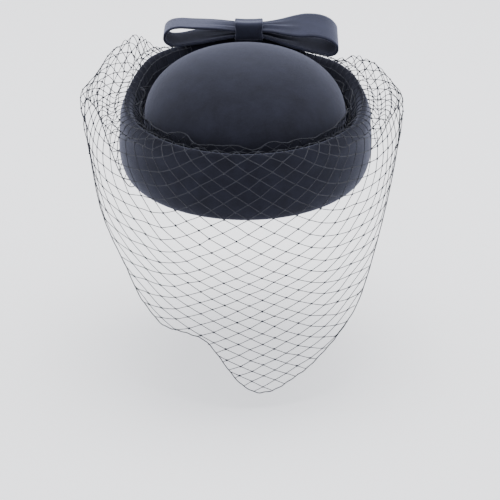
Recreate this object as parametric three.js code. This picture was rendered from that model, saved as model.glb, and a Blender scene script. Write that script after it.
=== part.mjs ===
// A fascinator headpiece: a domed wool-felt pillbox hat with a deep turned-up cuff, a felt bow on
// the back of the cuff and a birdcage veil of netting that lifts off the face.
// Millimetres. The origin is the centre of the head opening, +Z runs up the crown, the face is at
// -Y and +X is the right hand of someone who looks at the front of the hat.
import * as THREE from 'three';

// The head opening, measured inside the sweatband: about 57 cm round.
const HEAD_HALF_WIDTH = 84;
const HEAD_HALF_DEPTH = 97;
const TOUCH_GAP = 0.3;             // air left between two pieces that touch on the real hat
const RING_STEPS = 48;

// Crown
const CROWN_HEIGHT = 92;
const CROWN_SHOULDER = 42;         // height where the leaning side turns into the dome
const CROWN_TAPER = 8;             // how far the side leans in below the shoulder
const DOME_SQUARENESS = 2.25;      // 2 is a true ellipsoid, more gives a flatter top
const FELT = 2.4;

// Cuff
const CUFF_HEIGHT = 55;
const CUFF_BELLY = 12.4;           // how far the outer ply stands off the crown's foot
const CUFF_FOLD_INSET = 5.2;       // how far the folded top edge lies inside the belly
const CUFF_FOLD_GAP = 4.8;         // clear width between the two plies just under the fold
const CUFF_FOLD_WIDTH = CUFF_FOLD_GAP + FELT;
const CUFF_INNER_FOOT = 17;        // where the inner ply ends, down in the channel
// How far the folded edge rises behind, by degrees round the hat, as a share of the cuff's height.
const RIM_LIFT = [
  [-180, 0.07], [-162, 0.12], [-148, 0.21], [-137, 0.255], [-126, 0.255], [-117, 0.19], [-108, 0.1],
  [-98, 0.03], [-85, 0], [85, 0], [97, 0.03], [108, 0.08], [119, 0.13], [128, 0.145], [135, 0.1],
  [142, 0.045], [152, 0.03], [180, 0.07],
];
const WIRE_RADIUS = 0.7;
const JOINER_WALL = 0.4;
const JOINER_HALF_ANGLE = 6;       // degrees round the hat

// Sweatband, label and comb
const SWEATBAND_HEIGHT = 24;
const SWEATBAND_THICKNESS = 0.9;
const SWEATBAND_LIFT = 2;          // above the rim, so that it doesn't show
const LABEL_WIDTH = 24;
const LABEL_HEIGHT = 15;
const LABEL_THICKNESS = 0.6;
const COMB_WIDTH = 44;
const COMB_TEETH = 13;
const COMB_TOOTH_WIDTH = 1.5;
const COMB_TOOTH_LENGTH = 26;
const COMB_SPINE_HEIGHT = 3;
const COMB_THICKNESS = 1.4;
const COMB_STITCH_GAP = 0.6;       // from the sweatband to the wraps of thread
const COMB_PIVOT_HEIGHT = 10;
const COMB_CURL = 0.009;          // teeth curl in to follow the head, mm per mm squared
const COMB_BEND_RADIUS = HEAD_HALF_WIDTH ** 2 / HEAD_HALF_DEPTH;
const STITCH_RADIUS = 0.4;
const COMB_STITCH_REACH = 3;

// Bow
const BOW_FELT = 1.8;
const BOW_STRIP_WIDTH = 37;
const BOW_WAIST_WIDTH = 26;        // the strip where the knot squeezes it
const BOW_CENTRE_X = 2.8;
const BOW_BACKSET = 9;             // behind the head opening's edge
const BOW_RISE = 26;               // above the top of the cuff in front
const BOW_LOOP_REACH_LEFT = 70;
const BOW_LOOP_REACH_RIGHT = 71;
const BOW_LOOP_HEIGHT = 17;
const KNOT_WIDTH = 22;
const KNOT_HEIGHT = 17;
const KNOT_CORNER = 5;
const BOW_STITCH_RADIUS = 0.6;

// Veil
const VEIL_DROP = 144;             // from the rim to the lowest point of the net, at the chin
const VEIL_STANDOFF = 5.6;         // from the cuff's belly to the net in front
const VEIL_BILLOW = 25;            // further out at the sides
const VEIL_THICKNESS = 1.2;        // the knotted net pressed flat
const VEIL_EDGE = 97;              // degrees round the hat where the lifting part ends
const WING_EDGE = 107;             // degrees where the wings at the back start
const WING_END = 150;
const HEADING_CREST = 1.6;         // net over the top of the cuff
const TACKS = 6;
const TACK_REACH = 1.7;
const THREAD_RADIUS = 0.6;

const CROWN_FOOT = SWEATBAND_THICKNESS + TOUCH_GAP + FELT;
const BELLY_OFFSET = CROWN_FOOT + CUFF_BELLY;

const rad = THREE.MathUtils.degToRad;

// A point round the hat: azimuth in degrees from the front (+ to the right), offset outwards from
// the head opening, height. Scale shrinks the oval for the dome.
function round(azimuth, offset, z, scale = 1) {
  const x = (HEAD_HALF_WIDTH + offset) * scale * Math.sin(rad(azimuth));
  const y = -(HEAD_HALF_DEPTH + offset) * scale * Math.cos(rad(azimuth));
  return new THREE.Vector3(x, y, z);
}

// Smooth curve through a few [position, value] pairs, without overshoot.
function along(keys, at) {
  const last = keys.length - 1;
  if (at <= keys[0][0]) return keys[0][1];
  if (at >= keys[last][0]) return keys[last][1];
  const i = keys.findIndex((key) => key[0] > at) - 1;
  const slope = (k) => {
    if (k === 0 || k === last) return 0;
    const before = (keys[k][1] - keys[k - 1][1]) / (keys[k][0] - keys[k - 1][0]);
    const after = (keys[k + 1][1] - keys[k][1]) / (keys[k + 1][0] - keys[k][0]);
    return before * after <= 0 ? 0 : (2 * before * after) / (before + after);
  };
  const width = keys[i + 1][0] - keys[i][0];
  const t = (at - keys[i][0]) / width;
  const ease = t * t * (3 - 2 * t);
  const start = slope(i) * width * (t - 2 * t * t + t ** 3);
  const end = slope(i + 1) * width * (t ** 3 - t * t);
  return keys[i][1] * (1 - ease) + keys[i + 1][1] * ease + start + end;
}

function rimScale(azimuth) {
  return 1 + along(RIM_LIFT, ((((azimuth + 180) % 360) + 360) % 360) - 180);
}

// A closed solid from points and quads or triangles, with its faces turned outwards.
function closedSolid(points, faces) {
  const triangles = [];
  for (const face of faces) {
    for (let k = 2; k < face.length; k += 1) triangles.push([face[0], face[k - 1], face[k]]);
  }
  let volume = 0;
  for (const [a, b, c] of triangles) {
    volume += points[a].dot(new THREE.Vector3().crossVectors(points[b], points[c]));
  }
  const index = triangles.flatMap(([a, b, c]) => (volume > 0 ? [a, b, c] : [a, c, b]));
  const geometry = new THREE.BufferGeometry();
  geometry.setAttribute('position', new THREE.Float32BufferAttribute(points.flatMap((p) => p.toArray()), 3));
  geometry.setIndex(index);
  geometry.computeVertexNormals();
  return geometry;
}

// A ring round the hat from a closed list of profile stations { offset, z, scale }.
// A station of scale 0 is a pole on the axis. lift scales the heights by degrees round the hat.
function ring(stations, lift = () => 1, steps = RING_STEPS) {
  const points = [];
  const rows = stations.map((station) => {
    const row = [];
    const count = station.scale === 0 ? 1 : steps;
    for (let k = 0; k < count; k += 1) {
      row.push(points.length);
      const azimuth = (360 * k) / steps;
      points.push(round(azimuth, station.offset, station.z * lift(azimuth), station.scale));
    }
    return row;
  });
  const faces = [];
  rows.forEach((row, i) => {
    const next = rows[(i + 1) % rows.length];
    for (let k = 0; k < steps; k += 1) {
      const m = (k + 1) % steps;
      if (row.length === 1 && next.length === 1) continue;
      if (row.length === 1) faces.push([row[0], next[m], next[k]]);
      else if (next.length === 1) faces.push([row[k], row[m], next[0]]);
      else faces.push([row[k], row[m], next[m], next[k]]);
    }
  });
  return closedSolid(points, faces);
}

// A sheet of even thickness from a grid of points on its middle surface.
function sheet(grid, thickness) {
  const rows = grid.length;
  const columns = grid[0].length;
  const upper = [];
  const lower = [];
  for (let i = 0; i < rows; i += 1) {
    for (let j = 0; j < columns; j += 1) {
      const alongRow = grid[i][Math.min(j + 1, columns - 1)].clone().sub(grid[i][Math.max(j - 1, 0)]);
      const acrossRow = grid[Math.min(i + 1, rows - 1)][j].clone().sub(grid[Math.max(i - 1, 0)][j]);
      const normal = new THREE.Vector3().crossVectors(acrossRow, alongRow).setLength(thickness / 2);
      upper.push(grid[i][j].clone().add(normal));
      lower.push(grid[i][j].clone().sub(normal));
    }
  }
  const under = rows * columns;
  const at = (i, j) => i * columns + j;
  const faces = [];
  for (let i = 0; i + 1 < rows; i += 1) {
    for (let j = 0; j + 1 < columns; j += 1) {
      faces.push([at(i, j), at(i, j + 1), at(i + 1, j + 1), at(i + 1, j)]);
      faces.push([at(i, j), at(i + 1, j), at(i + 1, j + 1), at(i, j + 1)].map((n) => n + under));
    }
  }
  const wall = (a, b) => faces.push([b, a, a + under, b + under]);
  for (let j = 0; j + 1 < columns; j += 1) {
    wall(at(0, j), at(0, j + 1));
    wall(at(rows - 1, j + 1), at(rows - 1, j));
  }
  for (let i = 0; i + 1 < rows; i += 1) {
    wall(at(i + 1, 0), at(i, 0));
    wall(at(i, columns - 1), at(i + 1, columns - 1));
  }
  return closedSolid([...upper, ...lower], faces);
}

// A round tube with capped ends along a list of points.
function tube(path, radius, sides = 8) {
  const curve = new THREE.CatmullRomCurve3(path);
  const section = new THREE.Shape();
  section.absarc(0, 0, radius, 0, 2 * Math.PI);
  const curveSegments = sides / 2;
  const settings = { extrudePath: curve, steps: path.length - 1, curveSegments, bevelEnabled: false };
  return new THREE.ExtrudeGeometry(section, settings);
}

const group = new THREE.Group();

function add(name, geometry, color, roughness, metalness = 0) {
  const mesh = new THREE.Mesh(geometry, new THREE.MeshStandardMaterial({ color, roughness, metalness }));
  mesh.name = name;
  group.add(mesh);
  return mesh;
}

const FELT_COLOR = 0x2b2d38;
const NET_COLOR = 0x1c1d26;
const THREAD_COLOR = 0x1a1b22;

// How far the crown's outer face lies outside the head opening, up to its shoulder.
function crownOffset(z) {
  const t = Math.min(Math.max(z / CROWN_SHOULDER, 0), 1);
  return CROWN_FOOT - CROWN_TAPER * t * t * (3 - 2 * t);
}

// Crown: one blocked felt shell, a leaning side under a dome.
function crownStations(inset) {
  const sideSteps = 5;
  const domeSteps = 10;
  const rise = CROWN_HEIGHT - CROWN_SHOULDER - inset;
  const power = 2 / DOME_SQUARENESS;
  const stations = [];
  for (let i = 0; i < sideSteps; i += 1) {
    const z = (CROWN_SHOULDER * i) / sideSteps;
    stations.push({ offset: crownOffset(z) - inset, z, scale: 1 });
  }
  for (let i = 0; i < domeSteps; i += 1) {
    const turn = (Math.PI / 2) * (i / domeSteps);
    const z = CROWN_SHOULDER + rise * Math.sin(turn) ** power;
    stations.push({ offset: crownOffset(CROWN_SHOULDER) - inset, z, scale: Math.cos(turn) ** power });
  }
  stations.push({ offset: 0, z: CROWN_HEIGHT - inset, scale: 0 });
  return stations;
}

function buildCrown() {
  const outer = crownStations(0);
  const inner = crownStations(FELT).reverse();
  add('crown', ring([...outer, ...inner]), FELT_COLOR, 0.95);
}

// Cuff: one strip of felt that runs out from under the rim, up, over the wire and down into the
// channel round the crown.
function cuffMiddle() {
  const belly = BELLY_OFFSET - FELT / 2;
  const top = CUFF_HEIGHT - FELT / 2;
  const foldOuter = belly - CUFF_FOLD_INSET + CUFF_FOLD_WIDTH / 2;
  const foldInner = foldOuter - CUFF_FOLD_WIDTH;
  const footOffset = crownOffset(CUFF_INNER_FOOT) + TOUCH_GAP + FELT / 2 + 1.6;
  return [
    [CROWN_FOOT + TOUCH_GAP, FELT / 2],
    [belly - 5.2, FELT / 2 + 0.8],
    [belly - 1.6, CUFF_HEIGHT * 0.17],
    [belly, CUFF_HEIGHT * 0.42],
    [belly - 1, CUFF_HEIGHT * 0.68],
    [foldOuter, top - CUFF_FOLD_WIDTH],
    [(foldOuter + foldInner) / 2, top],
    [foldInner, top - CUFF_FOLD_WIDTH],
    [foldInner - 2.4, CUFF_HEIGHT * 0.6],
    [footOffset, CUFF_INNER_FOOT],
  ].map(([offset, z]) => new THREE.Vector3(offset, z, 0));
}

function buildCuff() {
  const middle = new THREE.CatmullRomCurve3(cuffMiddle(), false, 'centripetal');
  const steps = 2 * (middle.points.length - 1);
  const outside = [];
  const inside = [];
  for (let i = 0; i <= steps; i += 1) {
    const point = middle.getPoint(i / steps);
    const tangent = middle.getTangent(i / steps);
    const normal = new THREE.Vector3(tangent.y, -tangent.x, 0).multiplyScalar(FELT / 2);
    outside.push({ offset: point.x + normal.x, z: point.y + normal.y, scale: 1 });
    inside.unshift({ offset: point.x - normal.x, z: point.y - normal.y, scale: 1 });
  }
  add('cuff', ring([...outside, ...inside], rimScale), FELT_COLOR, 0.95);
}

// Millinery wire inside the fold, closed by a crimped sleeve at the back.
function wirePath(from, to, steps) {
  const offset = BELLY_OFFSET - FELT / 2 - CUFF_FOLD_INSET;
  const z = CUFF_HEIGHT - FELT - CUFF_FOLD_WIDTH * 0.62;
  const path = [];
  for (let i = 0; i <= steps; i += 1) {
    const azimuth = from + ((to - from) * i) / steps;
    path.push(round(azimuth, offset, z * rimScale(azimuth)));
  }
  return path;
}

function buildWire() {
  add('cuff_wire', tube(wirePath(-178.5, 178.5, 54), WIRE_RADIUS, 6), 0x8b8d92, 0.35, 0.9);
  const bore = WIRE_RADIUS + TOUCH_GAP;
  const sleeve = new THREE.Shape();
  sleeve.absarc(0, 0, bore + JOINER_WALL, 0, 2 * Math.PI);
  const hole = new THREE.Path();
  hole.absarc(0, 0, bore, 0, 2 * Math.PI);
  sleeve.holes.push(hole);
  const route = wirePath(180 - JOINER_HALF_ANGLE, 180 + JOINER_HALF_ANGLE, 6);
  const extrudePath = new THREE.CatmullRomCurve3(route);
  const settings = { extrudePath, steps: 6, curveSegments: 5, bevelEnabled: false };
  add('wire_joiner', new THREE.ExtrudeGeometry(sleeve, settings), 0x9a9ca0, 0.35, 0.9);
}

// Sweatband: a grosgrain ribbon that lines the foot of the crown.
function sweatbandFace(z) {
  return crownOffset(z) - FELT - TOUCH_GAP;
}

function buildSweatband() {
  const steps = 4;
  const outer = [];
  const inner = [];
  for (let i = 0; i <= steps; i += 1) {
    const z = SWEATBAND_LIFT + (SWEATBAND_HEIGHT * i) / steps;
    outer.push({ offset: sweatbandFace(z), z, scale: 1 });
    inner.unshift({ offset: sweatbandFace(z) - SWEATBAND_THICKNESS, z, scale: 1 });
  }
  add('sweatband', ring([...outer, ...inner]), 0x17181d, 0.7);
}

// A blank satin label sewn to the sweatband at the back.
function buildLabel() {
  const halfTurn = THREE.MathUtils.radToDeg(LABEL_WIDTH / 2 / HEAD_HALF_WIDTH);
  const grid = [];
  for (let i = 0; i <= 2; i += 1) {
    const z = SWEATBAND_LIFT + 4 + (LABEL_HEIGHT * i) / 2;
    const row = [];
    for (let j = 0; j <= 4; j += 1) {
      const inset = SWEATBAND_THICKNESS + TOUCH_GAP + LABEL_THICKNESS;
      row.push(round(180 + halfTurn * (j / 2 - 1), sweatbandFace(z) - inset, z));
    }
    grid.push(row);
  }
  add('care_label', sheet(grid, LABEL_THICKNESS), 0x202127, 0.45);
}

// Side comb in front, held on the sweatband by two wraps of thread that it turns in.
const COMB_PITCH = (COMB_WIDTH - COMB_TOOTH_WIDTH) / (COMB_TEETH - 1);
const COMB_STITCH_TURN = (4.5 * COMB_PITCH) / COMB_BEND_RADIUS;
const COMB_STITCH_X = COMB_BEND_RADIUS * Math.sin(COMB_STITCH_TURN);

function combPivotY() {
  const inset = sweatbandFace(COMB_PIVOT_HEIGHT) - SWEATBAND_THICKNESS;
  const share = COMB_STITCH_X / (HEAD_HALF_WIDTH + inset);
  const bandY = -(HEAD_HALF_DEPTH + inset) * Math.sqrt(1 - share ** 2);
  return bandY + COMB_STITCH_GAP + COMB_STITCH_REACH + STITCH_RADIUS;
}

function combOutline() {
  const top = COMB_SPINE_HEIGHT / 2;
  const outline = new THREE.Shape();
  outline.moveTo(-COMB_WIDTH / 2, -top);
  for (let n = 1; n <= COMB_TEETH; n += 1) outline.lineTo(COMB_WIDTH * (n / COMB_TEETH - 0.5), -top);
  for (let n = COMB_TEETH - 1; n >= 0; n -= 1) {
    const middle = -COMB_WIDTH / 2 + COMB_TOOTH_WIDTH / 2 + n * COMB_PITCH;
    for (const [share, narrowing] of [[0, 1], [0.35, 0.95], [0.7, 0.85], [1, 0.4]]) {
      outline.lineTo(middle + (COMB_TOOTH_WIDTH / 2) * narrowing, top + COMB_TOOTH_LENGTH * share);
    }
    for (const [share, narrowing] of [[1, 0.4], [0.7, 0.85], [0.35, 0.95], [0, 1]]) {
      outline.lineTo(middle - (COMB_TOOTH_WIDTH / 2) * narrowing, top + COMB_TOOTH_LENGTH * share);
    }
  }
  outline.closePath();
  return outline;
}

function buildComb() {
  const geometry = new THREE.ExtrudeGeometry(combOutline(), { depth: COMB_THICKNESS, bevelEnabled: false });
  const position = geometry.getAttribute('position');
  const bow = COMB_BEND_RADIUS * (1 - Math.cos(COMB_STITCH_TURN));
  for (let i = 0; i < position.count; i += 1) {
    const across = position.getX(i) / COMB_BEND_RADIUS;
    const up = position.getY(i);
    const depth = position.getZ(i) - COMB_THICKNESS / 2;
    const inward = COMB_CURL * Math.max(up, 0) ** 2 - depth;
    const radius = COMB_BEND_RADIUS - inward;
    const y = COMB_BEND_RADIUS - radius * Math.cos(across) - bow;
    position.setXYZ(i, radius * Math.sin(across), y, up);
  }
  geometry.computeVertexNormals();
  const comb = add('side_comb', geometry, 0x101114, 0.25);
  comb.position.set(0, combPivotY(), COMB_PIVOT_HEIGHT);

  for (const [name, side] of [['comb_stitch_left', -1], ['comb_stitch_right', 1]]) {
    const wrap = new THREE.TorusGeometry(COMB_STITCH_REACH, STITCH_RADIUS, 6, 20);
    const stitch = add(name, wrap, THREAD_COLOR, 0.8);
    stitch.rotation.y = Math.PI / 2;
    stitch.position.set(side * COMB_STITCH_X, combPivotY(), COMB_PIVOT_HEIGHT);
  }
}

// Bow: two folded loops of felt, squeezed at the waist by a wrapped knot.
const BOW_CENTRE_Y = HEAD_HALF_DEPTH + BOW_BACKSET;
const BOW_CENTRE_Z = CUFF_HEIGHT + BOW_RISE;

// side is -1 or 1; lift raises the loop's far end; tilt drops the strip's back edge, in degrees.
function buildLoop(name, side, reach, lift, tilt) {
  const start = 0.6;
  const waist = BOW_FELT / 2 + TOUCH_GAP / 2;
  const half = (BOW_LOOP_HEIGHT - BOW_FELT) / 2;
  const end = reach - BOW_FELT / 2;
  const middle = [
    [start, waist], [KNOT_WIDTH / 2 + 3, waist + 1], [reach * 0.5, lift * 0.6 + half * 0.85],
    [end - half, lift + half], [end - half * 0.25, lift + half * 0.66], [end, lift],
    [end - half * 0.25, lift - half * 0.66], [end - half, lift - half],
    [reach * 0.5, lift * 0.6 - half * 0.85], [KNOT_WIDTH / 2 + 3, -waist - 1], [start, -waist],
  ].map(([u, h]) => new THREE.Vector3(u, h, 0));
  const curve = new THREE.CatmullRomCurve3(middle, false, 'centripetal');
  const steps = 30;
  const grid = [];
  for (let i = 0; i <= steps; i += 1) {
    const point = curve.getPointAt(i / steps);
    const spread = along([[KNOT_WIDTH / 2, BOW_WAIST_WIDTH], [reach * 0.55, BOW_STRIP_WIDTH]], point.x);
    const slope = rad(tilt) * along([[KNOT_WIDTH / 2, 0], [reach * 0.6, 1]], point.x);
    const row = [];
    for (let j = 0; j <= 4; j += 1) {
      const across = spread * (j / 4 - 0.5);
      const y = BOW_CENTRE_Y + across * Math.cos(slope);
      const z = BOW_CENTRE_Z + point.y - across * Math.sin(slope);
      row.push(new THREE.Vector3(BOW_CENTRE_X + side * point.x, y, z));
    }
    grid.push(row);
  }
  add(name, sheet(grid, BOW_FELT), FELT_COLOR, 0.95);
}

function roundedBand(halfWidth, halfHeight, corner) {
  const path = new THREE.Path();
  path.moveTo(-halfWidth + corner, -halfHeight);
  path.absarc(halfWidth - corner, -halfHeight + corner, corner, -Math.PI / 2, 0);
  path.absarc(halfWidth - corner, halfHeight - corner, corner, 0, Math.PI / 2);
  path.absarc(-halfWidth + corner, halfHeight - corner, corner, Math.PI / 2, Math.PI);
  path.absarc(-halfWidth + corner, -halfHeight + corner, corner, Math.PI, 1.5 * Math.PI);
  return path;
}

function buildKnot() {
  const gapToStrip = 1;
  const halfWidth = BOW_WAIST_WIDTH / 2 + gapToStrip + BOW_FELT;
  const halfHeight = KNOT_HEIGHT / 2;
  const outline = new THREE.Shape(roundedBand(halfWidth, halfHeight, KNOT_CORNER).getPoints(6));
  const corner = KNOT_CORNER - BOW_FELT;
  outline.holes.push(roundedBand(halfWidth - BOW_FELT, halfHeight - BOW_FELT, corner));
  const settings = { depth: KNOT_WIDTH, curveSegments: 6, bevelEnabled: false };
  const geometry = new THREE.ExtrudeGeometry(outline, settings);
  geometry.rotateX(Math.PI / 2);
  geometry.rotateZ(Math.PI / 2);
  const knot = add('bow_knot', geometry, FELT_COLOR, 0.95);
  knot.position.set(BOW_CENTRE_X - KNOT_WIDTH / 2, BOW_CENTRE_Y, BOW_CENTRE_Z);
}

function buildBow() {
  buildLoop('bow_loop_left', -1, BOW_LOOP_REACH_LEFT, -4.5, 10);
  buildLoop('bow_loop_right', 1, BOW_LOOP_REACH_RIGHT, -10.5, -4);
  buildKnot();
  // Threads that hold the knot down on the fold of the cuff.
  const foldY = HEAD_HALF_DEPTH + BELLY_OFFSET - FELT / 2 - CUFF_FOLD_INSET;
  const bottom = CUFF_HEIGHT * rimScale(180) + TOUCH_GAP;
  const top = BOW_CENTRE_Z - KNOT_HEIGHT / 2 - TOUCH_GAP;
  for (const [name, side] of [['bow_stitch_left', -1], ['bow_stitch_right', 1]]) {
    const post = new THREE.CylinderGeometry(BOW_STITCH_RADIUS, BOW_STITCH_RADIUS, top - bottom, 8);
    const stitch = add(name, post, THREAD_COLOR, 0.8);
    stitch.rotation.x = Math.PI / 2;
    stitch.position.set(BOW_CENTRE_X + (side * KNOT_WIDTH) / 4, foldY, (top + bottom) / 2);
  }
}

// Gathering thread: runs through the net's edge and round the crown in the channel.
const THREAD_HEIGHT = 43;
const THREAD_OFFSET = crownOffset(THREAD_HEIGHT) + 2 * TOUCH_GAP + TACK_REACH + STITCH_RADIUS;

function buildGathering() {
  const path = [];
  const steps = 45;
  for (let i = 0; i <= steps; i += 1) {
    path.push(round(WING_END * ((2 * i) / steps - 1), THREAD_OFFSET, THREAD_HEIGHT));
  }
  add('gathering_thread', tube(path, THREAD_RADIUS, 6), THREAD_COLOR, 0.8);
  for (let n = 0; n < TACKS; n += 1) {
    const azimuth = -125 + (250 * n) / (TACKS - 1);
    const wrap = new THREE.TorusGeometry(TACK_REACH, STITCH_RADIUS, 5, 10);
    const tack = add(`veil_tack_${n + 1}`, wrap, THREAD_COLOR, 0.8);
    tack.position.copy(round(azimuth, THREAD_OFFSET, THREAD_HEIGHT));
    const ahead = round(azimuth + 1, THREAD_OFFSET, THREAD_HEIGHT);
    tack.lookAt(ahead);
  }
}

// Heading: the net from the gathering thread, up out of the channel and over the fold.
function buildHeading() {
  const fold = BELLY_OFFSET - FELT / 2 - CUFF_FOLD_INSET;
  const start = THREAD_OFFSET + TACK_REACH + STITCH_RADIUS + TOUCH_GAP + VEIL_THICKNESS / 2;
  const grid = [];
  const columns = 42;
  for (let i = 0; i <= columns; i += 1) {
    const azimuth = WING_END * ((2 * i) / columns - 1);
    const crest = CUFF_HEIGHT * rimScale(azimuth) + HEADING_CREST;
    const profile = new THREE.CatmullRomCurve3([
      [start, THREAD_HEIGHT + 1],
      [fold - CUFF_FOLD_WIDTH / 2 - FELT, crest - 3.4],
      [fold, crest],
      [fold + CUFF_FOLD_WIDTH / 2 + FELT - 0.4, crest - 2.6],
    ].map(([offset, z]) => new THREE.Vector3(offset, z, 0)), false, 'centripetal');
    grid.push(profile.getSpacedPoints(6).map((p) => round(azimuth, p.x, p.y)));
  }
  add('veil_heading', sheet(grid, VEIL_THICKNESS), NET_COLOR, 0.9);
}

// The hanging net, by azimuth in degrees: how far down its lower edge is, as a share of the way from
// the cuff's top to the lowest point, how far its fullest line is above the cuff's top, in mm, and
// its fullness, as a share of the billow.
const EDGE_SHARES = [
  [-150, 0.156], [-127, 0.548], [-107, 0.106], [-99, 0.045], [-81, 0.251], [-68, 0.402], [-56, 0.528],
  [-46, 0.678], [-36, 0.749], [-20, 0.769], [0, 0.97], [6, 1], [16, 0.975], [28, 0.91], [50, 0.734],
  [64, 0.503], [75, 0.337], [88, 0.166], [99, 0.065], [107, 0.146], [124, 0.377], [150, 0.146],
];
const CREST_RISES = [
  [-150, 3.5], [-138, 11], [-126, 29], [-114, 23], [-100, 7], [-85, 2], [0, -5],
  [85, 1], [100, 5], [112, 12], [124, 13], [133, 3], [150, 1],
];
const FULLNESS = [
  [-150, 0], [-138, 0.25], [-127, 0.5], [-112, 0.95], [-99, 1.1], [-81, 0.8], [-68, 0.68], [-56, 0.48],
  [-40, 0.18], [-15, 0], [15, 0], [40, 0.16], [56, 0.36], [75, 0.55], [90, 0.78], [102, 0.9],
  [112, 0.8], [127, 0.42], [138, 0.2], [150, 0],
];

function veilColumn(azimuth, steps) {
  const near = BELLY_OFFSET + VEIL_STANDOFF;
  const full = near + VEIL_BILLOW * along(FULLNESS, azimuth);
  const back = Math.min(Math.max((Math.abs(azimuth) - VEIL_EDGE) / (WING_END - VEIL_EDGE), 0), 1);
  const rim = CUFF_HEIGHT * rimScale(azimuth);
  const crest = CUFF_HEIGHT + along(CREST_RISES, azimuth);
  const edge = CUFF_HEIGHT - (CUFF_HEIGHT + VEIL_DROP) * along(EDGE_SHARES, azimuth);
  const topOffset = near - 4 * back;
  const belly = Math.max(crest - 22, (crest + edge) / 2);
  const curve = new THREE.CatmullRomCurve3([
    [topOffset, Math.min(crest - 3 * back, rim - 2 + 6 * back)],
    [(topOffset + full) / 2, crest],
    [full, belly],
    [full - (full - near) * 0.12 * (1 - back), edge],
  ].map(([offset, z]) => new THREE.Vector3(offset, z, 0)), false, 'centripetal');
  return curve.getSpacedPoints(steps).map((p) => round(azimuth, p.x, p.y));
}

function buildVeilPanel(name, from, to, columns, steps) {
  const grid = [];
  for (let i = 0; i <= columns; i += 1) grid.push(veilColumn(from + ((to - from) * i) / columns, steps));
  add(name, sheet(grid, VEIL_THICKNESS), NET_COLOR, 0.9);
}

buildCrown();
buildCuff();
buildWire();
buildSweatband();
buildLabel();
buildComb();
buildBow();
buildGathering();
buildHeading();
buildVeilPanel('veil_curtain', -VEIL_EDGE, VEIL_EDGE, 38, 10);
buildVeilPanel('veil_wing_left', -WING_END, -WING_EDGE, 12, 10);
buildVeilPanel('veil_wing_right', WING_EDGE, WING_END, 12, 10);

export default group;
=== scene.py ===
# A black wool-felt pillbox hat with a turned-up cuff, a felt bow and a birdcage veil.
# Metres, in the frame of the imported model: the head opening's centre is the origin, the face is
# towards -Y and the crown points up +Z.
import math

import bmesh
import bpy
import numpy as np
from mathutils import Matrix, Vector


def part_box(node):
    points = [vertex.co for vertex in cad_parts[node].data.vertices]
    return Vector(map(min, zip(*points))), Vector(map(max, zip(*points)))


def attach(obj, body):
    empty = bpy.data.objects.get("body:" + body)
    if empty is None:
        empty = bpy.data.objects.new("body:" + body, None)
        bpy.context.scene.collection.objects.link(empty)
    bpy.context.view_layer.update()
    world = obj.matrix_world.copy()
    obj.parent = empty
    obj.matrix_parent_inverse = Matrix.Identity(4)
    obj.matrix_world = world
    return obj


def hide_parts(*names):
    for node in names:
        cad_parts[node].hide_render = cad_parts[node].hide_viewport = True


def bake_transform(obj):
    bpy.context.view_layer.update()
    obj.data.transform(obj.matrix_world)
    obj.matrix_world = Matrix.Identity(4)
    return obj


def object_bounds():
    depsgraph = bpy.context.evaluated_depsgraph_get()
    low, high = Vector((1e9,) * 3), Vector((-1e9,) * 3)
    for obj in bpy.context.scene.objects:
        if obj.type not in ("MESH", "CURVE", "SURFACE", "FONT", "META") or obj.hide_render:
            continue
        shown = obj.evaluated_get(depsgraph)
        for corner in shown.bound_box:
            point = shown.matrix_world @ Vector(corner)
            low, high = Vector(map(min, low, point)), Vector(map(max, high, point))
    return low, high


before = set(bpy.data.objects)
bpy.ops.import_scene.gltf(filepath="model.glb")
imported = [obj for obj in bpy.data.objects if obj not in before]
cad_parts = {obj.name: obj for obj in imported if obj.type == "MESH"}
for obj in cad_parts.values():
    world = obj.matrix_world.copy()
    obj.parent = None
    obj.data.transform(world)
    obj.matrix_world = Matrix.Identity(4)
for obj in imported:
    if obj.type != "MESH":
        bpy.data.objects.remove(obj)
cad_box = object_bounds()
MM = 0.001

# ---------------------------------------------------------------------------------------------
# The camera looks down on the hat from the front, as someone does who faces the wearer.
# ---------------------------------------------------------------------------------------------
CAMERA_DISTANCE = 2.0
CAMERA_ELEVATION = math.radians(25.2)
VIEW_WIDTH = 0.3984                     # what the frame takes in at the hat
LOOK_AT = Vector((0.0037, -0.0287, -0.0609))

camera = bpy.data.objects.new("camera", bpy.data.cameras.new("camera"))
bpy.context.scene.collection.objects.link(camera)
back = Vector((0, -math.cos(CAMERA_ELEVATION), math.sin(CAMERA_ELEVATION)))
camera.location = LOOK_AT + back * CAMERA_DISTANCE
camera.rotation_euler = (-back).to_track_quat("-Z", "Y").to_euler()
camera.data.sensor_width = 36
camera.data.lens = 36 * CAMERA_DISTANCE / VIEW_WIDTH
camera.data.clip_end = 50
bpy.context.scene.camera = camera


# ---------------------------------------------------------------------------------------------
# Studio: a white paper floor below the veil, a broad light overhead and behind, and softer fill on
# both sides. A black felt hat only shows its shape by broad light that grazes it.
# ---------------------------------------------------------------------------------------------
def linear(hex_colour):
    """An sRGB hex colour as the linear values that a shader takes."""
    channels = [int(hex_colour[i:i + 2], 16) / 255 for i in (1, 3, 5)]
    values = [c / 12.92 if c <= 0.04045 else ((c + 0.055) / 1.055) ** 2.4 for c in channels]
    return (*values, 1.0)


def node(tree, kind, settings=None, links=None):
    """Add a node; settings are its properties or input values, links are its inputs' sources."""
    made = tree.nodes.new(kind)
    for key, value in (settings or {}).items():
        if isinstance(key, int) or key in made.inputs:
            made.inputs[key].default_value = value
        else:
            setattr(made, key, value)
    for key, source in (links or {}).items():
        tree.links.new(source, made.inputs[key])
    return made


def new_material(name):
    material = bpy.data.materials.new(name)
    material.use_nodes = True
    material.node_tree.nodes.clear()
    return material, material.node_tree


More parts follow.
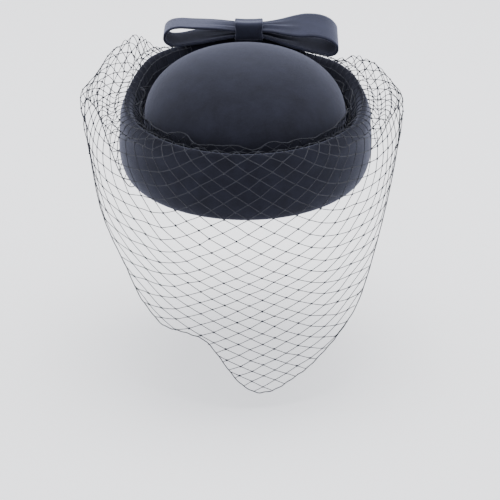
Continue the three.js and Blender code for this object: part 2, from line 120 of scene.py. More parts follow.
def new_object(name, vertices, faces, material, smooth=True):
    """A mesh object at the origin, in metres, with its faces turned outwards."""
    mesh = bpy.data.meshes.new(name)
    mesh.from_pydata([tuple(v) for v in vertices], [], [tuple(int(i) for i in f) for f in faces])
    shape = bmesh.new()
    shape.from_mesh(mesh)
    bmesh.ops.remove_doubles(shape, verts=shape.verts, dist=1e-7)
    bmesh.ops.recalc_face_normals(shape, faces=shape.faces)
    shape.to_mesh(mesh)
    shape.free()
    mesh.polygons.foreach_set("use_smooth", [smooth] * len(mesh.polygons))
    mesh.materials.append(material)
    made = bpy.data.objects.new(name, mesh)
    bpy.context.scene.collection.objects.link(made)
    return made


FLOOR_Z = cad_box[0][2] - 12 * MM
FLOOR_SIZE = 9.0
SKY_STRENGTH = 1.1
# Background paper: matt, pale, and lit from behind a little, so that it takes no hard shadow.
PAPER_GLOW = 0.5
paper, tree = new_material("white_paper")
shader = node(tree, "ShaderNodeBsdfPrincipled",
              {"Base Color": linear("#fbfbfc"), "Roughness": 0.9,
               "Emission Color": linear("#fafbff"), "Emission Strength": PAPER_GLOW})
node(tree, "ShaderNodeOutputMaterial", links={"Surface": shader.outputs["BSDF"]})
half = FLOOR_SIZE / 2
corners = [(-half, -half, FLOOR_Z), (half, -half, FLOOR_Z), (half, half, FLOOR_Z), (-half, half, FLOOR_Z)]
floor = new_object("floor", corners, [(0, 1, 2, 3)], paper)

world = bpy.data.worlds.new("studio")
bpy.context.scene.world = world
world.use_nodes = True
world.node_tree.nodes.clear()
sky = node(world.node_tree, "ShaderNodeBackground",
           {"Color": linear("#f6f7fb"), "Strength": SKY_STRENGTH})
node(world.node_tree, "ShaderNodeOutputWorld", links={"Surface": sky.outputs["Background"]})


def softbox(name, place, aim, size, watts, colour="#ffffff"):
    data = bpy.data.lights.new(name, "AREA")
    data.shape = "SQUARE"
    data.size = size
    data.energy = watts
    data.color = linear(colour)[:3]
    light = bpy.data.objects.new(name, data)
    light.location = place
    light.rotation_euler = (Vector(aim) - Vector(place)).to_track_quat("-Z", "Y").to_euler()
    bpy.context.scene.collection.objects.link(light)


softbox("overhead_softbox", (0.05, 0.35, 1.8), (0, 0, 0.05), 1.3, 34)
softbox("left_softbox", (-1.5, 0.25, 0.8), (0, 0, 0), 1.0, 8, "#eef2ff")
softbox("right_softbox", (1.5, 0.25, 0.8), (0, 0, 0), 1.0, 11, "#eef2ff")


# ---------------------------------------------------------------------------------------------
# Crown: a wool-felt hood, steamed and pulled over a wooden block. It is one seamless dome of
# matted fibres, a little uneven, brushed to a short nap.
# ---------------------------------------------------------------------------------------------
OPENING_HALF = (0.084, 0.097)           # head opening inside the sweatband, across and front to back
FELT = 2.4 * MM
CROWN_FOOT = 3.6 * MM                   # outer face of the crown, outside the head opening
CROWN_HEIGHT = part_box("crown")[1][2]
CROWN_SHOULDER = 42 * MM
CROWN_TAPER = 8 * MM
DOME_POWER = 2 / 2.25                   # below 1 the dome is fuller than an ellipse
FELT_FIBRE = 1.5 * MM
FELT_CLUMP = 14 * MM


def round_hat(azimuth, offset, z, scale=1.0):
    """Points round the hat: azimuth in radians from the front, offset out from the opening."""
    x = (OPENING_HALF[0] + offset) * scale * np.sin(azimuth)
    y = -(OPENING_HALF[1] + offset) * scale * np.cos(azimuth)
    return np.stack(np.broadcast_arrays(x, y, z), axis=-1)


def crown_offset(z):
    t = np.clip(z / CROWN_SHOULDER, 0, 1)
    return CROWN_FOOT - CROWN_TAPER * t * t * (3 - 2 * t)


def felt_material(name, shadow, body, nap, sheen=0.55):
    """Wool felt: matted fibres drink light head on, and their raised ends catch it at the edges.

    Real fibres are 0.02 mm thick, so the nap is drawn as coarse as it needs to show."""
    material, tree = new_material(name)
    place = node(tree, "ShaderNodeTexCoord").outputs["Object"]
    clumps = node(tree, "ShaderNodeTexNoise", {"Scale": 1 / FELT_CLUMP, "Detail": 3.0, "Roughness": 0.6},
                  {"Vector": place})
    fibres = node(tree, "ShaderNodeTexNoise", {"Scale": 1 / FELT_FIBRE, "Detail": 4.0, "Roughness": 0.75},
                  {"Vector": place})
    flecks = node(tree, "ShaderNodeTexVoronoi", {"Scale": 1 / (0.5 * MM)}, {"Vector": place})
    tone = node(tree, "ShaderNodeMix", {"data_type": "RGBA", "Factor": 0.5},
                {"Factor": fibres.outputs["Fac"]})
    tone.inputs["A"].default_value = linear(shadow)
    tone.inputs["B"].default_value = linear(body)
    drift = node(tree, "ShaderNodeMapRange",
                 {"From Min": 0.3, "From Max": 0.7, "To Min": 0.0, "To Max": 0.45},
                 {"Value": clumps.outputs["Fac"]})
    mottled = node(tree, "ShaderNodeMix", {"data_type": "RGBA"}, {"Factor": drift.outputs["Result"]})
    tree.links.new(tone.outputs["Result"], mottled.inputs["A"])
    mottled.inputs["B"].default_value = linear(nap)
    height = node(tree, "ShaderNodeMath", {"operation": "MULTIPLY_ADD", 1: 0.4},
                  {0: flecks.outputs["Distance"], 2: fibres.outputs["Fac"]})
    relief = node(tree, "ShaderNodeBump", {"Strength": 0.6, "Distance": 0.25 * MM},
                  {"Height": height.outputs["Value"]})
    shader = node(tree, "ShaderNodeBsdfPrincipled",
                  {"Roughness": 0.95, "Specular IOR Level": 0.18, "Sheen Weight": sheen,
                   "Sheen Roughness": 0.38, "Sheen Tint": linear("#a4a8bf")},
                  {"Base Color": mottled.outputs["Result"], "Normal": relief.outputs["Normal"]})
    node(tree, "ShaderNodeOutputMaterial", links={"Surface": shader.outputs["BSDF"]})
    return material


wool_felt = felt_material("wool_felt", "#0f1017", "#1c1d27", "#252734")


def uneven(points, amount, size, seed):
    """Shift points by smooth waves, as hand-blocked felt is never quite true."""
    draws = np.random.default_rng(seed)
    shift = np.zeros(points.shape[:-1])
    for _ in range(6):
        direction = draws.normal(size=3)
        direction /= np.linalg.norm(direction) * size
        shift += np.sin(points @ direction + draws.uniform(0, 2 * np.pi))
    outward = points * np.array([1, 1, 0.6])
    outward /= np.linalg.norm(outward, axis=-1, keepdims=True) + 1e-9
    return points + outward * (shift * amount / 6)[..., None]


def lathe_round(name, stations, material, lift=None, steps=160, rough=0.0, rough_size=0.03, seed=0):
    """A closed ring or cap round the hat from (offset, z, scale) stations; scale 0 is a pole.

    lift scales the heights by the degrees round the hat."""
    azimuths = np.arange(steps) * 2 * np.pi / steps
    vertices = []
    rows = []
    for offset, z, scale in stations:
        count = 1 if scale == 0 else steps
        rows.append(range(len(vertices), len(vertices) + count))
        heights = z if lift is None else z * lift(np.degrees(azimuths[:count]))
        vertices.extend(round_hat(azimuths[:count], offset, heights, scale))
    vertices = np.array(vertices)
    if rough:
        vertices = uneven(vertices, rough, rough_size, seed)
    faces = []
    for row, following in zip(rows, [*rows[1:], rows[0]]):
        if len(row) == 1 and len(following) == 1:
            continue
        for k in range(steps):
            m = (k + 1) % steps
            if len(row) == 1:
                faces.append((row[0], following[m], following[k]))
            elif len(following) == 1:
                faces.append((row[k], row[m], following[0]))
            else:
                faces.append((row[k], row[m], following[m], following[k]))
    return new_object(name, vertices, faces, material)


def crown_profile(inset, side_steps=14, dome_steps=34):
    rise = CROWN_HEIGHT - CROWN_SHOULDER - inset
    stations = []
    for z in np.linspace(0, CROWN_SHOULDER, side_steps, endpoint=False):
        stations.append((crown_offset(z) - inset, z, 1.0))
    for turn in np.linspace(0, math.pi / 2, dome_steps, endpoint=False):
        z = CROWN_SHOULDER + rise * math.sin(turn) ** DOME_POWER
        stations.append((crown_offset(CROWN_SHOULDER) - inset, z, math.cos(turn) ** DOME_POWER))
    stations.append((0.0, CROWN_HEIGHT - inset, 0))
    return stations


profile = crown_profile(0) + crown_profile(FELT)[::-1]
crown = lathe_round("crown_felt", profile, wool_felt, rough=0.35 * MM, seed=3)
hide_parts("crown")
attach(crown, "hat")


# ---------------------------------------------------------------------------------------------
# Cuff: a strip of the same felt, stretched on the iron so that it bellies out, folded over a
# wire at the top and tucked down inside. Its foot is turned under and sewn to the crown's edge.
# ---------------------------------------------------------------------------------------------
CUFF_HEIGHT = 55 * MM
CUFF_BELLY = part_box("cuff")[1][0] - OPENING_HALF[0]
CUFF_FOLD_INSET = 5.2 * MM
CUFF_FOLD_WIDTH = 7.2 * MM
CUFF_INNER_FOOT = 17 * MM


def dense_curve(points, steps=24):
    """Points of the curve, steps to each span, and the index of each point that it goes through."""
    points = np.array(points, float)
    points = np.vstack([2 * points[0] - points[1], points, 2 * points[-1] - points[-2]])
    knots = np.concatenate([[0], np.cumsum(np.linalg.norm(np.diff(points, axis=0), axis=1) ** 0.5 + 1e-9)])
    dense = []
    for k in range(len(points) - 3):
        t = knots[k:k + 4]
        p = points[k:k + 4]
        u = np.linspace(t[1], t[2], steps, endpoint=False)[:, None]
        a = [p[i] + (p[i + 1] - p[i]) * (u - t[i]) / (t[i + 1] - t[i]) for i in range(3)]
        b = [a[i] + (a[i + 1] - a[i]) * (u - t[i]) / (t[i + 2] - t[i]) for i in range(2)]
        dense.append(b[0] + (b[1] - b[0]) * (u - t[1]) / (t[2] - t[1]))
    dense.append(points[-2:-1])
    return np.concatenate(dense), np.arange(len(points) - 2) * steps


def smooth_curve(points, count):
    """Even steps along a centripetal Catmull-Rom curve, as the CAD's own curves are."""
    dense, _ = dense_curve(points)
    reach = np.concatenate([[0], np.cumsum(np.linalg.norm(np.diff(dense, axis=0), axis=1))])
    at = np.linspace(0, reach[-1], count)
    return np.stack([np.interp(at, reach, dense[:, k]) for k in range(dense.shape[1])], axis=1)


def along(keys, at):
    """Monotone cubic through (place, value) keys."""
    x, y = np.array(keys, float).T
    slope = np.diff(y) / np.diff(x)
    turn = np.zeros(len(x))
    same = slope[:-1] * slope[1:] > 0
    turn[1:-1][same] = (2 * slope[:-1] * slope[1:])[same] / (slope[:-1] + slope[1:])[same]
    k = np.clip(np.searchsorted(x, at) - 1, 0, len(x) - 2)
    h = (x[k + 1] - x[k])
    t = np.clip((at - x[k]) / h, 0, 1)
    return (y[k] * (1 + 2 * t) * (1 - t) ** 2 + y[k + 1] * t * t * (3 - 2 * t)
            + turn[k] * h * t * (1 - t) ** 2 + turn[k + 1] * h * t * t * (t - 1))


# How far the folded edge rises behind: (degrees round the hat, share of the cuff's height).
RIM_LIFT = [
    (-180, 0.25), (-160, 0.25), (-148, 0.24), (-137, 0.255), (-126, 0.25), (-117, 0.19), (-108, 0.1),
    (-98, 0.03), (-85, 0), (85, 0), (97, 0.03), (108, 0.08), (119, 0.13), (128, 0.145), (136, 0.135),
    (146, 0.125), (154, 0.155), (162, 0.205), (171, 0.245), (180, 0.25)]


def rim_scale(degrees):
    """How the cuff's heights grow towards the back, where its folded edge rises."""
    return 1 + along(RIM_LIFT, (np.asarray(degrees) + 180) % 360 - 180)


def thick_profile(middle, thickness):
    """Stations of a strip's closed section from the middle line of (offset, z) points."""
    tangent = np.gradient(middle, axis=0)
    tangent /= np.linalg.norm(tangent, axis=1, keepdims=True)
    side = np.stack([tangent[:, 1], -tangent[:, 0]], axis=1) * thickness / 2
    rim = [(*p, 1.0) for p in middle + side]
    return rim + [(*p, 1.0) for p in (middle - side)[::-1]]


belly = CUFF_BELLY - FELT / 2
top = CUFF_HEIGHT - FELT / 2
fold_outer = belly - CUFF_FOLD_INSET + CUFF_FOLD_WIDTH / 2
fold_inner = fold_outer - CUFF_FOLD_WIDTH
cuff_foot = crown_offset(CUFF_INNER_FOOT) + 0.3 * MM + FELT / 2 + 1.6 * MM
cuff_middle = smooth_curve([
    (CROWN_FOOT + 0.3 * MM, FELT / 2),
    (belly - 5.2 * MM, FELT / 2 + 0.8 * MM),
    (belly - 1.6 * MM, CUFF_HEIGHT * 0.17),
    (belly, CUFF_HEIGHT * 0.42),
    (belly - 1 * MM, CUFF_HEIGHT * 0.68),
    (fold_outer, top - CUFF_FOLD_WIDTH),
    ((fold_outer + fold_inner) / 2, top),
    (fold_inner, top - CUFF_FOLD_WIDTH),
    (fold_inner - 2.4 * MM, CUFF_HEIGHT * 0.6),
    (cuff_foot, CUFF_INNER_FOOT),
], 90)
cuff = lathe_round("cuff_felt", thick_profile(cuff_middle, FELT), wool_felt, rim_scale, rough=0.3 * MM,
                   rough_size=0.022, seed=11)
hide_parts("cuff")
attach(cuff, "hat")


# ---------------------------------------------------------------------------------------------
# Sweatband: a grosgrain ribbon round the inside of the foot, lapped at the back and caught to the
# felt by a row of running stitches. Its ribs are the heavy weft that runs across the ribbon.
# ---------------------------------------------------------------------------------------------
SWEATBAND_THICKNESS = 0.9 * MM
SWEATBAND_LIFT = 2 * MM
SWEATBAND_HEIGHT = 24 * MM
RIB_PITCH = 1.3 * MM
LAP_DEGREES = 6


def cloth_material(name, dark, light, roughness, sheen, grain, specular=0.3):
    """Woven ribbon or thread: fine yarns, seen as a close mottling, with a soft shine."""
    material, tree = new_material(name)
    place = node(tree, "ShaderNodeTexCoord").outputs["Object"]
    yarn = node(tree, "ShaderNodeTexNoise", {"Scale": 1 / grain, "Detail": 3.0}, {"Vector": place})
    shade = node(tree, "ShaderNodeValToRGB", links={"Fac": yarn.outputs["Fac"]})
    shade.color_ramp.elements[0].position = 0.3
    shade.color_ramp.elements[0].color = linear(dark)
    shade.color_ramp.elements[1].position = 0.7
    shade.color_ramp.elements[1].color = linear(light)
    relief = node(tree, "ShaderNodeBump", {"Strength": 0.3, "Distance": 0.1 * MM},
                  {"Height": yarn.outputs["Fac"]})
    shader = node(tree, "ShaderNodeBsdfPrincipled",
                  {"Roughness": roughness, "Specular IOR Level": specular, "Sheen Weight": sheen},
                  {"Base Color": shade.outputs["Color"], "Normal": relief.outputs["Normal"]})
    node(tree, "ShaderNodeOutputMaterial", links={"Surface": shader.outputs["BSDF"]})
    return material


def ramp(x, start, end):
    t = np.clip((x - start) / (end - start), 0, 1)
    return t * t * (3 - 2 * t)


def strip_solid(name, grid, thickness, material):
    """A strip of even thickness round a grid of middle points, with rounded edges."""
    grid = np.array(grid)
    du = np.gradient(grid, axis=0)
    dv = np.gradient(grid, axis=1)
    normal = np.cross(du, dv)
    normal /= np.linalg.norm(normal, axis=-1, keepdims=True)
    edge = dv / np.linalg.norm(dv, axis=-1, keepdims=True)
    rows, columns = grid.shape[:2]
    rings = []
    for i in range(rows):
        upper = [grid[i, j] + normal[i, j] * thickness / 2 for j in range(columns)]
        lower = [grid[i, j] - normal[i, j] * thickness / 2 for j in range(columns)]
        far = grid[i, -1] + edge[i, -1] * thickness * 0.3
        near = grid[i, 0] - edge[i, 0] * thickness * 0.3
        rings.append([*upper, far, *lower[::-1], near])
    count = len(rings[0])
    vertices = [p for ring in rings for p in ring]
    faces = []
    for i in range(rows - 1):
        for k in range(count):
            m = (k + 1) % count
            faces.append((i * count + k, i * count + m, (i + 1) * count + m, (i + 1) * count + k))
    faces.append(tuple(range(count)))
    faces.append(tuple((rows - 1) * count + k for k in range(count)))
    return new_object(name, vertices, faces, material)


def band_face(z):
    return crown_offset(z) - FELT - 0.3 * MM


# Grosgrain: dull ribbed ribbon, whose ribs are in the mesh.
grosgrain = cloth_material("grosgrain_ribbon", "#14151a", "#24252c", 0.6, 0.35, 0.35 * MM)
turn_steps = int(2 * math.pi * 90 * MM / RIB_PITCH) * 4
grid = []
for k in range(turn_steps + 1):
    degrees = 180 - LAP_DEGREES / 2 + (360 + LAP_DEGREES) * k / turn_steps
    lap = (SWEATBAND_THICKNESS + 0.15 * MM) * ramp(degrees, 540 - 2 * LAP_DEGREES, 540 - LAP_DEGREES)
    rib = 0.13 * MM * math.cos(k * math.pi / 2)
    row = []
    for z in np.linspace(SWEATBAND_LIFT, SWEATBAND_LIFT + SWEATBAND_HEIGHT, 9):
        picot = rib if SWEATBAND_LIFT < z < SWEATBAND_LIFT + SWEATBAND_HEIGHT else 0
        row.append(round_hat(math.radians(degrees), band_face(z) - SWEATBAND_THICKNESS / 2 - lap + picot, z))
    grid.append(row)
sweatband = strip_solid("sweatband_ribbon", grid, SWEATBAND_THICKNESS - 0.26 * MM, grosgrain)
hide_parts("sweatband")
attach(sweatband, "hat")

# Every thread below is a line of points that Geometry Nodes gives its thickness.


def net_tree(material):
    """Geometry Nodes: each line of edges becomes a thread, each marked point a lumpy knot."""
    tree = bpy.data.node_groups.new("knotted_net", "GeometryNodeTree")
    tree.interface.new_socket("Net", in_out="INPUT", socket_type="NodeSocketGeometry")
    for name in ("Thread radius", "Knot radius"):
        tree.interface.new_socket(name, in_out="INPUT", socket_type="NodeSocketFloat")
    tree.interface.new_socket("Seed", in_out="INPUT", socket_type="NodeSocketInt")
    tree.interface.new_socket("Net", in_out="OUTPUT", socket_type="NodeSocketGeometry")
    given = node(tree, "NodeGroupInput").outputs
    lines = node(tree, "GeometryNodeMeshToCurve", links={"Mesh": given["Net"]})
    section = node(tree, "GeometryNodeCurvePrimitiveCircle", {"Resolution": 6},
                   {"Radius": given["Thread radius"]})
    threads = node(tree, "GeometryNodeCurveToMesh", {"Fill Caps": True},
                   {"Curve": lines.outputs["Curve"], "Profile Curve": section.outputs["Curve"]})
    marked = node(tree, "GeometryNodeInputNamedAttribute", {"data_type": "BOOLEAN", "Name": "knot"})
    points = node(tree, "GeometryNodeMeshToPoints", {"mode": "VERTICES"},
                  {"Mesh": given["Net"], "Selection": marked.outputs["Attribute"]})
    ball = node(tree, "GeometryNodeMeshIcoSphere", {"Subdivisions": 2}, {"Radius": given["Knot radius"]})
    lumps = node(tree, "ShaderNodeTexNoise", {"Scale": 1 / (1.1 * MM), "Detail": 1.0})
    shift = node(tree, "ShaderNodeVectorMath", {"operation": "MULTIPLY_ADD", 1: (1.1 * MM,) * 3,
                                                2: (-0.55 * MM,) * 3}, {0: lumps.outputs["Color"]})
    lumpy = node(tree, "GeometryNodeSetPosition",
                 links={"Geometry": ball.outputs["Mesh"], "Offset": shift.outputs["Vector"]})
    turn = node(tree, "FunctionNodeRandomValue", {"data_type": "FLOAT_VECTOR"}, {"Seed": given["Seed"]})
    turn.inputs[1].default_value = (6.283, 6.283, 6.283)
    size = node(tree, "FunctionNodeRandomValue", {"data_type": "FLOAT"}, {"Seed": given["Seed"]})
    size.inputs[2].default_value = 0.8
    size.inputs[3].default_value = 1.2
    knots = node(tree, "GeometryNodeInstanceOnPoints",
                 links={"Points": points.outputs["Points"], "Instance": lumpy.outputs["Geometry"],
                        "Rotation": turn.outputs["Value"], "Scale": size.outputs[1]})
    both = node(tree, "GeometryNodeJoinGeometry")
    tree.links.new(threads.outputs["Mesh"], both.inputs["Geometry"])
    tree.links.new(knots.outputs["Instances"], both.inputs["Geometry"])
    real = node(tree, "GeometryNodeRealizeInstances", links={"Geometry": both.outputs["Geometry"]})
    dressed = node(tree, "GeometryNodeSetMaterial", {"Material": material},
                   {"Geometry": real.outputs["Geometry"]})
    shaded = node(tree, "GeometryNodeSetShadeSmooth", links={"Geometry": dressed.outputs["Geometry"]})
    node(tree, "NodeGroupOutput", links={"Net": shaded.outputs["Geometry"]})
    return tree


def run_tree(name, points, edges, tree, inputs, marks):
    """Run lines of points through a Geometry Nodes tree and keep the result as a plain mesh."""
    mesh = bpy.data.meshes.new(name + "_lines")
    mesh.from_pydata([tuple(p) for p in points], [tuple(int(i) for i in e) for e in edges], [])
    mesh.attributes.new("knot", "BOOLEAN", "POINT").data.foreach_set("value", marks)
    lines = bpy.data.objects.new(name + "_lines", mesh)
    bpy.context.scene.collection.objects.link(lines)
    modifier = lines.modifiers.new("threads", "NODES")
    modifier.node_group = tree
    for item in tree.interface.items_tree:
        if item.item_type == "SOCKET" and item.in_out == "INPUT" and item.name in inputs:
            modifier[item.identifier] = inputs[item.name]
    evaluated = lines.evaluated_get(bpy.context.evaluated_depsgraph_get())
    solid = bpy.data.meshes.new_from_object(evaluated)
    bpy.data.objects.remove(lines)
    made = bpy.data.objects.new(name, solid)
    bpy.context.scene.collection.objects.link(made)
    return made


def plied(path, radius, pitch, plies=2):
    """The strands of a twisted thread: lines that wind round the path."""
    path = np.array(path, float)
    reach = np.concatenate([[0], np.cumsum(np.linalg.norm(np.diff(path, axis=0), axis=1))])
    at = np.linspace(0, reach[-1], max(int(reach[-1] / pitch * 7), 8))
    path = np.stack([np.interp(at, reach, path[:, k]) for k in range(3)], axis=1)
    tangent = np.gradient(path, axis=0)
    tangent /= np.linalg.norm(tangent, axis=1, keepdims=True)
    normal = np.zeros_like(path)
    normal[0] = np.cross(tangent[0], (0.31, 0.17, 0.93))
    for k in range(len(path)):
        before = normal[max(k - 1, 0)]
        normal[k] = before - tangent[k] * (before @ tangent[k])
        normal[k] /= np.linalg.norm(normal[k])
    side = np.cross(tangent, normal)
    strands = []
    for ply in range(plies):
        turn = (at / pitch + ply / plies) * 2 * np.pi
        strands.append(path + radius * (normal * np.cos(turn)[:, None] + side * np.sin(turn)[:, None]))
    return strands


def joined(lines):
    """Points and edges of separate lines, for the thread tree."""
    points, edges = [], []
    for line in lines:
        first = len(points)
        points.extend(line)
        edges.extend((first + k, first + k + 1) for k in range(len(line) - 1))
    return points, edges


def thread_piece(name, lines, radius, replaces, body="hat"):
    points, edges = joined(lines)
    sizes = {"Thread radius": radius, "Knot radius": 0.0, "Seed": 1}
    made = run_tree(name, points, edges, thread_tree, sizes, [False] * len(points))
    if replaces:
        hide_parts(replaces)
    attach(made, body)
    return made


def coil(centre, along_axis, reach, turns, spacing, steps=26):
    """Turns of thread wound round an axis, as a sewer's fastening stitch."""
    axis = np.array(along_axis, float)
    axis /= np.linalg.norm(axis)
    across = np.cross(axis, (0, 0, 1))
    across /= np.linalg.norm(across)
    up = np.cross(across, axis)
    turn = np.linspace(0, turns * 2 * np.pi, int(turns * steps))
    drift = (turn / (2 * np.pi) - turns / 2) * spacing
    return (np.array(centre) + axis * drift[:, None]
            + reach * (across * np.cos(turn)[:, None] + up * np.sin(turn)[:, None]))


# Polyester sewing thread: two twisted plies with a faint shine.
sewing_thread = cloth_material("sewing_thread", "#0d0e12", "#1d1e25", 0.55, 0.3, 0.3 * MM)
thread_tree = net_tree(sewing_thread)
stitches = []
for degrees in np.arange(0, 360, 3.2):
    span = np.radians(degrees + np.linspace(0, 1.7, 6))
    lift = 0.16 * MM * np.sin(np.linspace(0, np.pi, 6))
    offset = band_face(SWEATBAND_LIFT + 1.8 * MM) - SWEATBAND_THICKNESS - lift
    stitches.append(round_hat(span, offset, SWEATBAND_LIFT + 1.8 * MM + 0.1 * MM * np.sin(span * 40)))
thread_piece("sweatband_stitches", stitches, 0.2 * MM, None)


# ---------------------------------------------------------------------------------------------
# Care label: a blank satin tab at the back of the ribbon. Its two ends are folded under and it is
# caught down along its top and bottom edges.
# ---------------------------------------------------------------------------------------------
LABEL_WIDTH = 24 * MM
LABEL_HEIGHT = 15 * MM
# Satin: long floats of smooth yarn give it more gloss than the ribbon.
satin = cloth_material("satin_label", "#1c1d23", "#2b2c34", 0.32, 0.2, 0.25 * MM, specular=0.6)
label_z = SWEATBAND_LIFT + 4 * MM
half_turn = math.degrees(LABEL_WIDTH / 2 / OPENING_HALF[0])
grid = []
for across in np.linspace(-1, 1, 31):
    folded = 0.35 * MM * ramp(abs(across), 0.86, 0.93)
    row = []
    for share in np.linspace(0, 1, 17):
        z = label_z + LABEL_HEIGHT * share
        puff = 0.3 * MM * math.sin(math.pi * share) * (1 - across ** 2) + folded
        inset = 2 * SWEATBAND_THICKNESS + 0.75 * MM + puff
        row.append(round_hat(math.radians(180 + half_turn * across), band_face(z) - inset, z))
    grid.append(row)
label = strip_solid("care_label_satin", grid, 0.35 * MM, satin)
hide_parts("care_label")
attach(label, "hat")
edge_stitches = []
for share in (0.06, 0.94):
    for across in np.linspace(-0.93, 0.87, 13):
        line = np.linspace(across, across + 0.09, 4)
        z = label_z + LABEL_HEIGHT * share
        inset = 2 * SWEATBAND_THICKNESS + 1.15 * MM + 0.3 * MM * ramp(np.abs(line), 0.86, 0.93)
        edge_stitches.append(round_hat(np.radians(180 + half_turn * line), band_face(z) - inset, z))
thread_piece("care_label_stitches", edge_stitches, 0.14 * MM, None)


# ---------------------------------------------------------------------------------------------
# Side comb: moulded black plastic, polished by its mould. Two wraps of thread round its spine hold
# it to the ribbon, and it turns in them.
# ---------------------------------------------------------------------------------------------
# Moulded acetate plastic: glossy and black, with faint flow marks that vary the gloss.
comb_plastic, tree = new_material("moulded_plastic")
place = node(tree, "ShaderNodeTexCoord").outputs["Object"]
flow = node(tree, "ShaderNodeTexNoise", {"Scale": 1 / (5 * MM), "Detail": 2.0}, {"Vector": place})
gloss = node(tree, "ShaderNodeMapRange", {"To Min": 0.16, "To Max": 0.3}, {"Value": flow.outputs["Fac"]})
shader = node(tree, "ShaderNodeBsdfPrincipled", {"Base Color": linear("#0e0f12"), "Coat Weight": 0.3},
              {"Roughness": gloss.outputs["Result"]})
node(tree, "ShaderNodeOutputMaterial", links={"Surface": shader.outputs["BSDF"]})


def dress(name, material):
    """Give a CAD node that stays its real material."""
    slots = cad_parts[name].data.materials
    for k in range(len(slots)):
        slots[k] = material


dress("side_comb", comb_plastic)
for name in ("comb_stitch_left", "comb_stitch_right"):
    low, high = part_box(name)
    centre = [(low[k] + high[k]) / 2 for k in range(3)]
    wraps = coil(centre, (1, 0, 0), 3.0 * MM, 3, 0.75 * MM)
    thread_piece(name + "_wraps", plied(wraps, 0.17 * MM, 1.4 * MM), 0.2 * MM, name)


# ---------------------------------------------------------------------------------------------
# Brim wire: drawn steel in the fold of the cuff, which holds the edge round. Its ends meet in a
# crimped sleeve at the back, and the fold hides both.
# ---------------------------------------------------------------------------------------------
# Drawn steel: bright grey metal, its gloss broken by marks of the die.
steel, tree = new_material("drawn_steel")
place = node(tree, "ShaderNodeTexCoord").outputs["Object"]
draw = node(tree, "ShaderNodeTexNoise", {"Scale": 1 / (1.5 * MM), "Detail": 3.0}, {"Vector": place})
gloss = node(tree, "ShaderNodeMapRange", {"To Min": 0.25, "To Max": 0.5}, {"Value": draw.outputs["Fac"]})
shader = node(tree, "ShaderNodeBsdfPrincipled", {"Base Color": linear("#a9abb0"), "Metallic": 1.0},
              {"Roughness": gloss.outputs["Result"]})
node(tree, "ShaderNodeOutputMaterial", links={"Surface": shader.outputs["BSDF"]})
dress("cuff_wire", steel)
dress("wire_joiner", steel)


# ---------------------------------------------------------------------------------------------
# Bow: two folded loops of thinner felt. Each is a strip laid back on itself, squeezed at the
# waist, with soft creases that run out from the knot.
# ---------------------------------------------------------------------------------------------
BOW_FELT = 1.8 * MM
BOW_STRIP_WIDTH = 37 * MM
BOW_WAIST_WIDTH = 22 * MM
BOW_NECK = 11 * MM                      # how far from the middle the strip stays squeezed
BOW_SETTLE = 5 * MM                     # how far the soft felt sags below the middle of its space
# Bow felt: the same wool, pressed thinner and smoother, so that it catches more light at its edges. Its
# colours are painted lighter than the crown's felt: painted light where the bow sits on top of the hat.
bow_felt = felt_material("bow_felt", "#1b1c26", "#2a2c3a", "#333648", sheen=0.8)
knot_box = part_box("bow_knot")
BOW_CENTRE = [(knot_box[0][k] + knot_box[1][k]) / 2 for k in range(3)]
BOW_CENTRE[2] -= BOW_SETTLE


def bow_loop(name, side, outline, dips, crease_seed):
    """One loop. outline is (reach, height) along the middle of the strip, from the knot out and back;
    dips are how far the front edge hangs below the back edge, on the upper and the lower layer."""
    middle = smooth_curve(outline, 72)
    draws = np.random.default_rng(crease_seed)
    creases = [(draws.uniform(-0.3, 0.3), draws.uniform(0.5, 1.0)) for _ in range(3)]
    reach = max(p[0] for p in outline)
    grid = []
    for i, (u, h) in enumerate(middle):
        out = ramp(u, BOW_NECK, BOW_NECK + reach * 0.5)
        width = BOW_WAIST_WIDTH + (BOW_STRIP_WIDTH - BOW_WAIST_WIDTH) * out
        dip = dips[0] + (dips[1] - dips[0]) * ramp(i, 28, 46)
        row = []
        for v in np.linspace(-0.5, 0.5, 17):
            fold = sum(size * math.exp(-((v - where) / 0.09) ** 2) for where, size in creases)
            lift = fold * 1.1 * MM * (1 - out) * (1 if i < 36 else -1)
            y = BOW_CENTRE[1] + v * width
            z = BOW_CENTRE[2] + h + lift + dip * v * out
            row.append((BOW_CENTRE[0] + side * u, y, z))
        grid.append(row)
    loop = strip_solid(name + "_felt", grid, BOW_FELT, bow_felt)
    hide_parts(name)
    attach(loop, "hat")
    return loop


waist = BOW_FELT / 2 + 0.2 * MM
left_outline = [(0.6 * MM, waist), (14 * MM, 3.0 * MM), (28 * MM, 4.4 * MM), (47 * MM, 5.2 * MM),
                (57 * MM, 5.6 * MM), (64 * MM, 4.2 * MM), (68.5 * MM, 0.2 * MM), (69 * MM, -4.6 * MM),
                (65 * MM, -8.2 * MM), (56 * MM, -8.8 * MM), (46 * MM, -6.8 * MM), (28 * MM, -4.4 * MM),
                (14 * MM, -2.6 * MM), (0.6 * MM, -waist)]
right_outline = [(0.6 * MM, waist), (14 * MM, 2.4 * MM), (28 * MM, 2.6 * MM), (40 * MM, 3.2 * MM),
                 (50 * MM, 3.8 * MM), (60 * MM, 2.6 * MM), (68 * MM, -1.2 * MM), (72.5 * MM, -6.8 * MM),
                 (71.5 * MM, -12 * MM), (66 * MM, -14.8 * MM), (56 * MM, -13.6 * MM),
                 (42 * MM, -10.0 * MM), (28 * MM, -7.0 * MM), (14 * MM, -3.4 * MM), (0.6 * MM, -waist)]
bow_loop("bow_loop_left", -1, left_outline, (-5.5 * MM, -2 * MM), 5)
bow_loop("bow_loop_right", 1, right_outline, (6 * MM, 1 * MM), 8)

